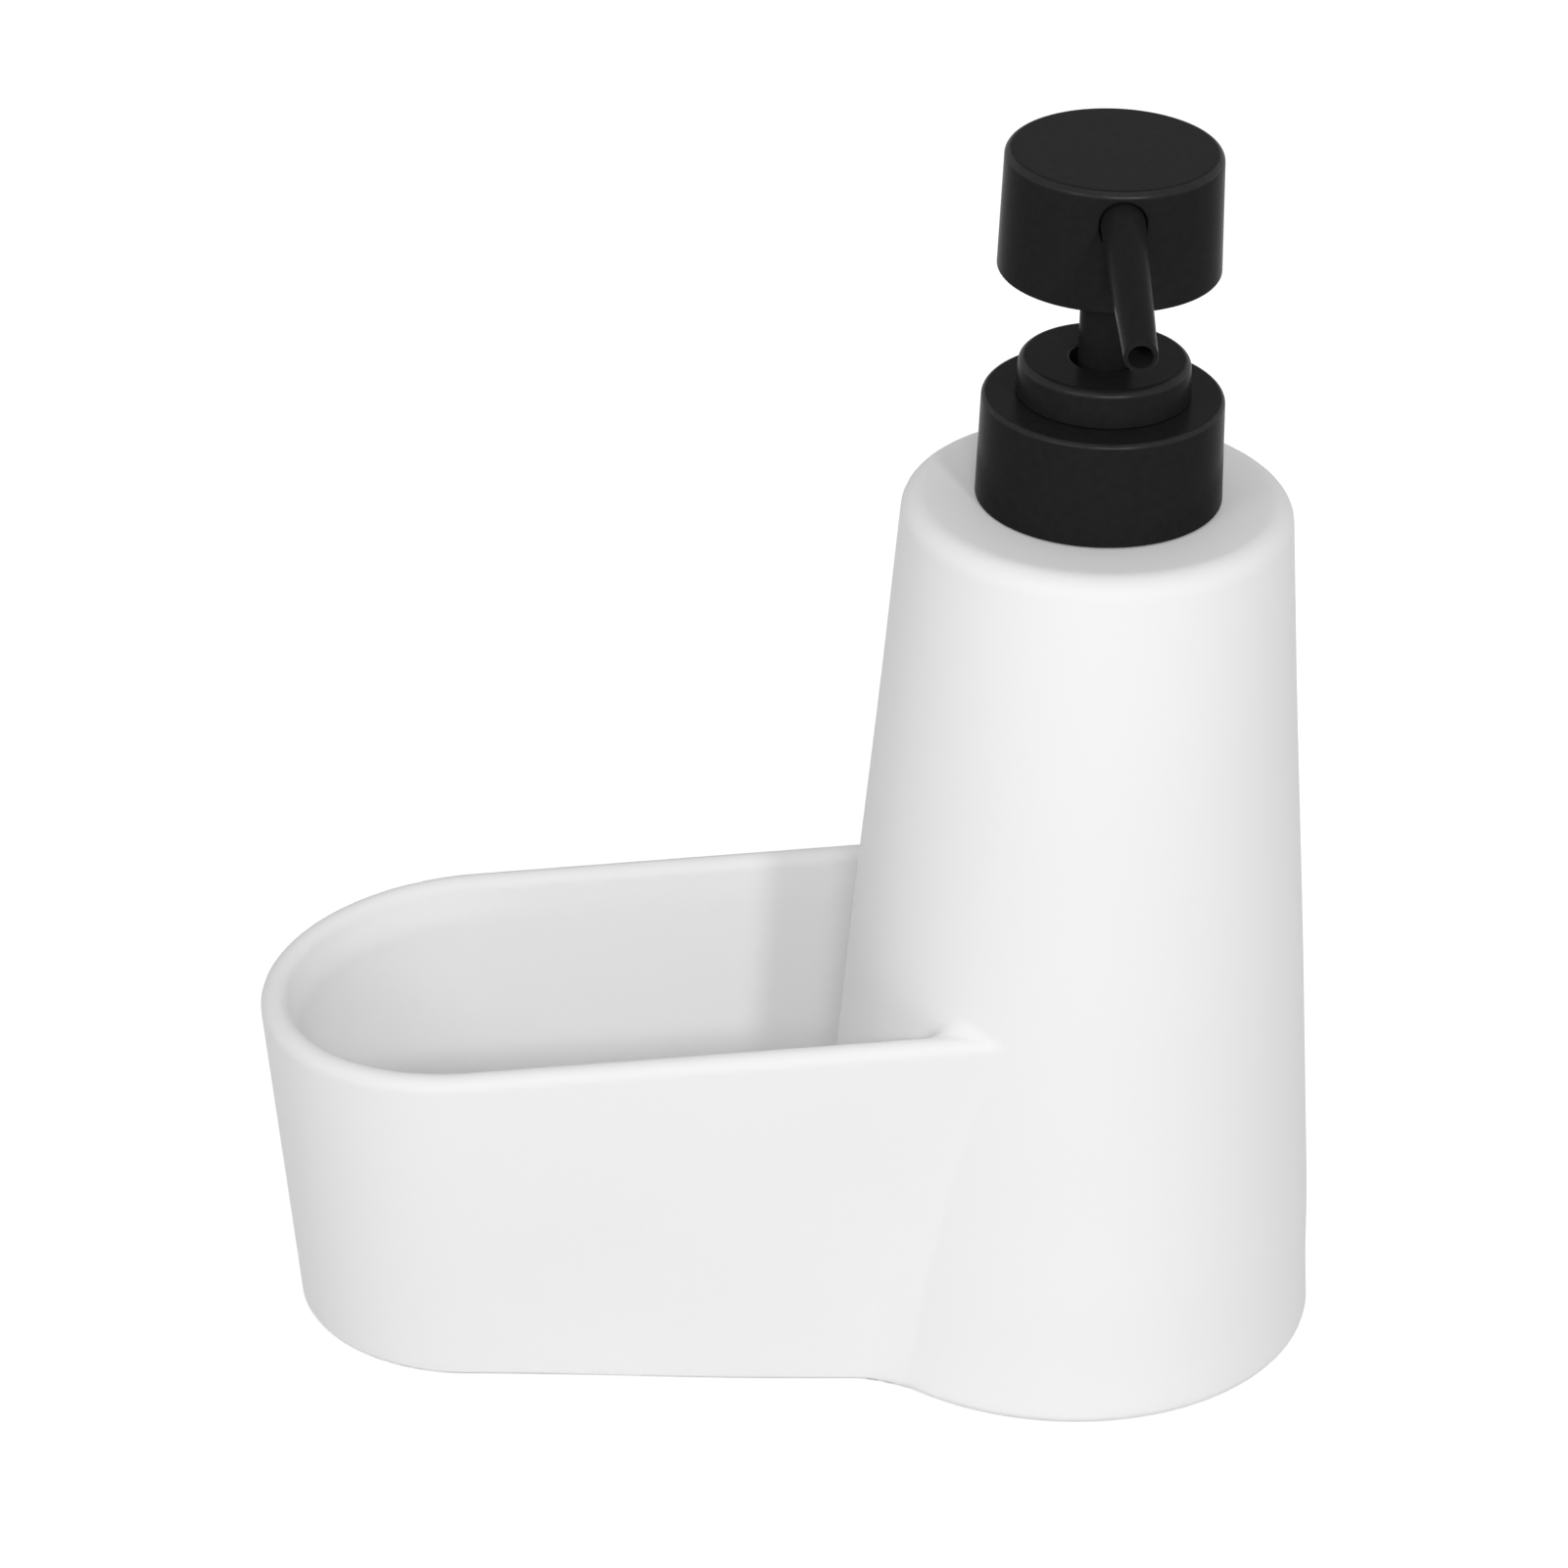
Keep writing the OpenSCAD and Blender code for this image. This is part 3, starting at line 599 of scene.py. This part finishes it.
def black_plastic(name, polish):
    """Satin black moulding: fine eroded grain, and rounded edges that handling has polished."""
    n = Nodes(name)
    shades = [(0.3, (0.0136, 0.0136, 0.0140)), (0.75, (0.0166, 0.0166, 0.0172))]
    n.put("Base Color", n.ramp(n.noise(scale=700.0), shades))
    n.put("Roughness", n.spread(n.noise(scale=160.0, detail=4.0), low=0.24, high=0.30))
    n.put("Specular IOR Level", 0.010)
    if polish > 0:
        # Rounded edges face halfway between up and out, flat tops and walls don't
        rise = n.height_of_normal()
        below = n.spread(rise, low=0.0, high=polish, at=(0.10, 0.40))
        above = n.spread(rise, low=1.0, high=0.0, at=(0.86, 0.98))
        wear = n.spread(n.noise(scale=350.0), low=0.8, high=1.0)
        n.put("Coat Weight", n.times(n.times(below, above), wear))
        n.put("Coat Roughness", 0.32)
    grain = n.bump(n.noise(scale=2600.0, detail=2.0), strength=0.30, distance=0.00004)
    waves = n.noise(scale=120.0, detail=2.0)
    n.put("Normal", n.bump(waves, strength=0.05, distance=0.0002, under=grain))
    return n.mat


def natural_plastic(name, tint, rough):
    """Milky unpigmented plastic with flow streaks."""
    n = Nodes(name)
    dark = tuple(c * STREAK_SHADE for c in tint)
    n.put("Base Color", n.ramp(n.noise(scale=60.0), [(0.3, dark), (0.7, tint)]))
    n.put("Roughness", n.spread(n.noise(scale=300.0), low=rough - 0.05, high=rough + 0.07))
    n.put("Normal", n.bump(n.noise(scale=900.0, detail=2.0), strength=0.12, distance=0.00005))
    return n.mat


def rubber(name, shade, scale):
    """Dull rubber with a pebbled face."""
    n = Nodes(name)
    dark = tuple(c * PEBBLE_SHADE for c in shade)
    n.put("Base Color", n.ramp(n.noise(scale, detail=4.0), [(0.3, dark), (0.7, shade)]))
    n.put("Roughness", n.spread(n.noise(scale * 2), low=0.72, high=0.88))
    n.put("Specular IOR Level", 0.25)
    n.put("Normal", n.bump(n.voronoi(scale * 3), strength=0.35, distance=0.00012))
    return n.mat


def steel(name, streaks):
    """Drawn or ground steel with fine streaks."""
    n = Nodes(name)
    shades = [(0.3, (0.52, 0.52, 0.53)), (0.7, (0.66, 0.66, 0.67))]
    n.put("Base Color", n.ramp(n.noise(scale=200.0, detail=4.0), shades))
    n.put("Metallic", 1.0)
    n.put("Roughness", n.spread(n.noise(streaks, detail=5.0), low=0.16, high=0.34))
    n.put("Normal", n.bump(n.noise(streaks * 2), strength=0.10, distance=0.00003))
    return n.mat


MATERIALS = {
    "white_body": white_plastic(),
    "black_plastic": black_plastic("black_satin_plastic", polish=0.0),
    "natural_plastic": natural_plastic("natural_plastic", tint=(0.78, 0.78, 0.75), rough=0.32),
    "neck_plastic": natural_plastic("neck_plastic", tint=(0.82, 0.82, 0.81), rough=0.38),
    "seal_plastic": natural_plastic("seal_plastic", tint=(0.84, 0.84, 0.81), rough=0.45),
    "seal_rubber": rubber("seal_rubber", shade=(0.30, 0.30, 0.31), scale=500.0),
    "pad_rubber": rubber("pad_rubber", shade=(0.12, 0.12, 0.125), scale=350.0),
    "spring_steel": steel("spring_steel", streaks=900.0),
    "ball_steel": steel("ball_steel", streaks=300.0),
}
POLISHED_BLACK = black_plastic("black_plastic_polished_edges", polish=0.3)


def finish_piece(obj, body, slot, node, material=None):
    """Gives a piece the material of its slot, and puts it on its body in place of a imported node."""
    obj.data.materials.clear()
    obj.data.materials.append(material or MATERIALS[slot])
    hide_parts(node)
    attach(obj, body)


def dress_cad_nodes():
    """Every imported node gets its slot's material, also those that a piece replaces."""
    for entry in frame["record"]["subparts"]:
        node = frame["nodes"][entry["node"]]
        node.data.materials.clear()
        node.data.materials.append(MATERIALS[entry["material_slot"]])


# Pieces
def caddy_body_piece():
    reach = TRAY_REACH + TRAY_BASE_R + RIM_END_H * DRAFT_RATE + TRAY_MARGIN
    low = (-reach, -BOTTLE_BASE_R, BODY_Z)
    high = (BOTTLE_BASE_R, BOTTLE_BASE_R, BOTTLE_H)
    obj = skin("moulded_body", body_field, low, high, BODY_STEP)
    finish_piece(obj, "caddy", "white_body", "caddy_body")


def neck_piece():
    low = (-NECK_FLANGE_R, -NECK_FLANGE_R, BOTTLE_H - NECK_SPIGOT_L)
    high = (NECK_FLANGE_R, NECK_FLANGE_R, NECK_TOP_Z)
    obj = skin("threaded_neck", neck_field, low, high, THREAD_STEP)
    finish_piece(obj, "caddy", "neck_plastic", "neck_insert")


def closure_piece():
    reach = CLOSURE_R + RIB_PROUD
    low = (-reach, -reach, CLOSURE_FOOT_Z)
    high = (reach, reach, SHELL_CAP_Z)
    obj = skin("screw_closure", closure_field, low, high, THREAD_STEP)
    finish_piece(obj, "collar", "black_plastic", "closure_nut")


def collar_piece():
    inner = CLOSURE_R + RIB_PROUD + SEAT_GAP
    obj = lathe("screw_collar", [
        (COLLAR_R, COLLAR_FOOT_Z, ROUND_FOOT),
        (COLLAR_TOP_R, COLLAR_TOP_Z, ROUND_COLLAR_TOP),
        (TURRET_R + RUN_GAP, COLLAR_TOP_Z, ROUND_STEM),
        (TURRET_R + RUN_GAP, SHELL_CAP_Z, ROUND_HIDDEN),
        (inner, SHELL_CAP_Z, ROUND_FINE),
        (inner, COLLAR_FOOT_Z, ROUND_FOOT),
    ])
    finish_piece(obj, "collar", "black_plastic", "collar_shell", POLISHED_BLACK)


def guide_piece():
    obj = lathe("guide_ring", [
        (GUIDE_FOOT_R, GUIDE_FOOT_Z, ROUND_FOOT),
        (GUIDE_R, GUIDE_TOP_Z, GUIDE_ROUND),
        (GUIDE_HOLE_R, GUIDE_TOP_Z, ROUND_HOLE),
        (GUIDE_HOLE_R, THROAT_Z, ROUND_THROAT),
        (THROAT_R, THROAT_Z, ROUND_HIDDEN),
        (THROAT_R, TURRET_TOP_Z, ROUND_HIDDEN),
        (TURRET_R + SEAT_GAP, TURRET_TOP_Z, ROUND_HIDDEN),
        (TURRET_R + SEAT_GAP, GUIDE_FOOT_Z, ROUND_HIDDEN),
    ])
    finish_piece(obj, "pump", "black_plastic", "guide_collar", POLISHED_BLACK)


def stem_piece():
    obj = lathe("pump_stem", [
        (STEM_R, STEM_FOOT_Z, ROUND_STEM),
        (STEM_R, STEM_TOP_Z, ROUND_STEM),
        (STEM_BORE_R, STEM_TOP_Z, ROUND_HIDDEN),
        (STEM_BORE_R, STEM_FOOT_Z, ROUND_HIDDEN),
    ], STEM_SEGMENTS)
    finish_piece(obj, "head", "black_plastic", "stem")


def head_piece():
    low = (-HEAD_R, -HEAD_R, HEAD_FOOT_Z)
    high = (HEAD_R, HEAD_R, HEAD_TOP_Z)
    obj = skin("pump_head", head_field, low, high, HEAD_STEP)
    finish_piece(obj, "head", "black_plastic", "head_shell", POLISHED_BLACK)


def spout_piece():
    obj = skin("pump_spout", spout_field, SPOUT_BOX_LOW, SPOUT_BOX_HIGH, SPOUT_STEP)
    finish_piece(obj, "head", "black_plastic", "spout_tube")


def spring_piece():
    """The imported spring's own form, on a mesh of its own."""
    node = frame["nodes"]["return_spring"]
    obj = bpy.data.objects.new("coil_spring", node.data.copy())
    bpy.context.scene.collection.objects.link(obj)
    obj.matrix_world = node.matrix_world.copy()
    finish_piece(obj, "pump", "spring_steel", "return_spring")
    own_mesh(obj)


# Stage, lights and camera
FLOOR_HALF = 6.0
FLOOR_SHADE = 0.80
FLOOR_GLOW = 0.54
FLOOR_GLOW_FAR = 0.63
FLOOR_NEAR = 0.8
FLOOR_FAR = 2.5
WORLD_LEVEL = 0.49
LAMP_TARGET = (-0.02, 0.0, 0.09)
LAMP_DISTANCE = 1.5
# Name, azimuth and elevation in degrees, width in metres, power in watts
LAMPS = [
    ("front", 0, 30, 0.3, 4.3),
    ("right", 20.5, 28, 0.16, 4.6),
    ("left", -40, 28, 0.6, 2.9),
    ("top", 0, 85, 0.8, 1.0),
]


def seen_directly(tree):
    """1 where a ray comes from the camera, or by way of a glossy or clear surface."""
    path = tree.nodes.new("ShaderNodeLightPath")
    last = path.outputs["Is Camera Ray"]
    for extra in ("Is Glossy Ray", "Is Transmission Ray"):
        node = tree.nodes.new("ShaderNodeMath")
        node.operation = "MAXIMUM"
        tree.links.new(last, node.inputs[0])
        tree.links.new(path.outputs[extra], node.inputs[1])
        last = node.outputs["Value"]
    return last


def build_floor():
    mesh = bpy.data.meshes.new("floor")
    turns = [(-1, -1), (1, -1), (1, 1), (-1, 1)]
    mesh.from_pydata([(FLOOR_HALF * x, FLOOR_HALF * y, 0) for x, y in turns], [], [(0, 1, 2, 3)])
    floor = bpy.data.objects.new("floor", mesh)
    bpy.context.scene.collection.objects.link(floor)
    mat = bpy.data.materials.new("floor")
    mat.use_nodes = True
    tree = mat.node_tree
    tree.nodes.clear()
    out = tree.nodes.new("ShaderNodeOutputMaterial")
    diffuse = tree.nodes.new("ShaderNodeBsdfDiffuse")
    diffuse.inputs["Color"].default_value = (FLOOR_SHADE, FLOOR_SHADE, FLOOR_SHADE, 1)
    glow = tree.nodes.new("ShaderNodeEmission")
    both = tree.nodes.new("ShaderNodeAddShader")
    # The floor glows more far off, where no lamp reaches, so that it ends in the white background
    away = tree.nodes.new("ShaderNodeVectorMath")
    away.operation = "LENGTH"
    tree.links.new(tree.nodes.new("ShaderNodeTexCoord").outputs["Object"], away.inputs[0])
    rise = tree.nodes.new("ShaderNodeMapRange")
    rise.inputs["From Min"].default_value = FLOOR_NEAR
    rise.inputs["From Max"].default_value = FLOOR_FAR
    rise.inputs["To Min"].default_value = FLOOR_GLOW
    rise.inputs["To Max"].default_value = FLOOR_GLOW_FAR
    tree.links.new(away.outputs["Value"], rise.inputs["Value"])
    level = tree.nodes.new("ShaderNodeMath")
    level.operation = "MULTIPLY"
    tree.links.new(rise.outputs["Result"], level.inputs[1])
    tree.links.new(seen_directly(tree), level.inputs[0])
    tree.links.new(level.outputs["Value"], glow.inputs["Strength"])
    tree.links.new(diffuse.outputs["BSDF"], both.inputs[0])
    tree.links.new(glow.outputs["Emission"], both.inputs[1])
    tree.links.new(both.outputs["Shader"], out.inputs["Surface"])
    mesh.materials.append(mat)


def build_world():
    world = bpy.data.worlds.new("studio")
    bpy.context.scene.world = world
    world.use_nodes = True
    tree = world.node_tree
    back = tree.nodes["Background"]
    back.inputs["Color"].default_value = (1, 1, 1, 1)
    level = tree.nodes.new("ShaderNodeMapRange")
    level.inputs["To Min"].default_value = WORLD_LEVEL
    level.inputs["To Max"].default_value = 1.0
    tree.links.new(seen_directly(tree), level.inputs["Value"])
    tree.links.new(level.outputs["Result"], back.inputs["Strength"])


def area_light(name, azimuth, elevation, size, power):
    """Soft lamp aimed at the middle of the object. Azimuth 0 is the front, 90 the right."""
    a, e = math.radians(azimuth), math.radians(elevation)
    out = np.array([math.sin(a) * math.cos(e), -math.cos(a) * math.cos(e), math.sin(e)])
    data = bpy.data.lights.new(name, "AREA")
    data.shape = "DISK"
    data.size = size
    data.energy = power
    lamp = bpy.data.objects.new(name, data)
    bpy.context.scene.collection.objects.link(lamp)
    side = np.cross([0, 0, 1], out)
    side /= np.linalg.norm(side)
    up = np.cross(out, side)
    place = np.array(LAMP_TARGET) + out * LAMP_DISTANCE
    rows = [[side[i], up[i], out[i], place[i]] for i in range(3)]
    lamp.matrix_world = Matrix(rows + [[0, 0, 0, 1]])


CAMERA_PLACE = (-0.076985, -0.932893, 0.602356)
CAMERA_YAW = 0.03258
CAMERA_PITCH = 0.49969
CAMERA_ROLL = 0.02542
CAMERA_FOCAL_PX = 7000.0
IMAGE_PX = 1601.0
SENSOR_MM = 36.0
CAMERA_NEAR = 0.01
CAMERA_FAR = 20.0


def build_camera():
    sy, cy = math.sin(CAMERA_YAW), math.cos(CAMERA_YAW)
    sp, cp = math.sin(CAMERA_PITCH), math.cos(CAMERA_PITCH)
    sr, cr = math.sin(CAMERA_ROLL), math.cos(CAMERA_ROLL)
    ahead = np.array([sy * cp, cy * cp, -sp])
    right = np.array([cy, -sy, 0.0])
    up = np.cross(right, ahead)
    right_r = cr * right + sr * up
    up_r = -sr * right + cr * up
    data = bpy.data.cameras.new("camera")
    data.sensor_width = SENSOR_MM
    data.lens = CAMERA_FOCAL_PX / IMAGE_PX * SENSOR_MM
    data.clip_start = CAMERA_NEAR
    data.clip_end = CAMERA_FAR
    camera = bpy.data.objects.new("camera", data)
    bpy.context.scene.collection.objects.link(camera)
    rows = [[right_r[i], up_r[i], -ahead[i], CAMERA_PLACE[i]] for i in range(3)]
    camera.matrix_world = Matrix(rows + [[0, 0, 0, 1]])
    bpy.context.scene.camera = camera


build_camera()
build_world()
build_floor()
for lamp_facts in LAMPS:
    area_light(*lamp_facts)
dress_cad_nodes()
caddy_body_piece()
neck_piece()
closure_piece()
collar_piece()
guide_piece()
stem_piece()
head_piece()
spout_piece()
spring_piece()
bpy.context.scene.view_settings.view_transform = "Standard"
